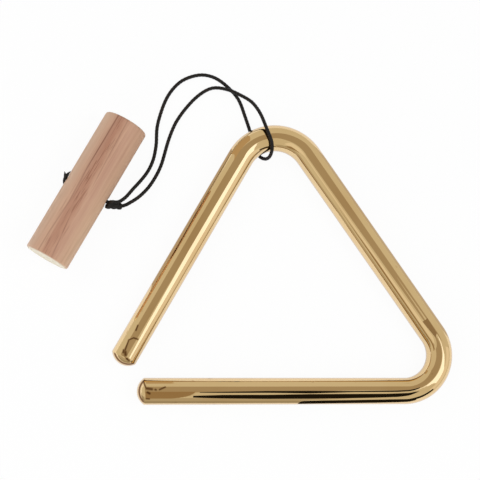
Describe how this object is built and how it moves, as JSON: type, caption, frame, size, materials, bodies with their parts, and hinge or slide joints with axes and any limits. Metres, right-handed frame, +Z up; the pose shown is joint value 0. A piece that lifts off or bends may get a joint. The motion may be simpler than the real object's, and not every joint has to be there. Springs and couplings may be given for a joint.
{
  "type": "triangle instrument",
  "caption": "Hand-bent round brass rod triangle, open at one corner, hung on a waxed cord from a turned wooden handle.",
  "frame": {"origin": "on the table, under the middle of the footprint of the rod and its handle", "axes": "+X along the bottom bar towards its closed corner, +Y towards the top bend, +Z up from the table"},
  "size_m": [0.1938, 0.1523, 0.0205],
  "materials": {
    "brass": "mirror polished",
    "handle_wood": "sanded, light oil",
    "waxed_cord": "waxed black twist"
  },
  "bodies": {
    "triangle": {"triangle_rod": "brass"},
    "sling": {"strand_outer": "waxed_cord", "rod_loop": "waxed_cord", "strand_inner": "waxed_cord"},
    "hole_cord": {"gather_knot": "waxed_cord", "hole_run": "waxed_cord", "stopper_knot": "waxed_cord"},
    "handle": {"handle": "handle_wood"}
  },
  "joints": [
    {"name": "loop_swing", "type": "hinge", "parent": "triangle", "child": "sling", "pos_m": [0.00813, 0.05471, 0.0081], "axis": [0.9304, 0.3664, 0.0068], "range_deg": [-90, 90]},
    {"name": "knot_swing", "type": "hinge", "parent": "sling", "child": "hole_cord", "pos_m": [-0.05497, 0.02402, 0.01025], "axis": [0, 0, 1], "range_deg": [-8, 50]},
    {"name": "handle_spin", "type": "hinge", "parent": "hole_cord", "child": "handle", "pos_m": [-0.07096, 0.02991, 0.01025], "axis": [0.8695, -0.4939, 0], "continuous": true}
  ]
}
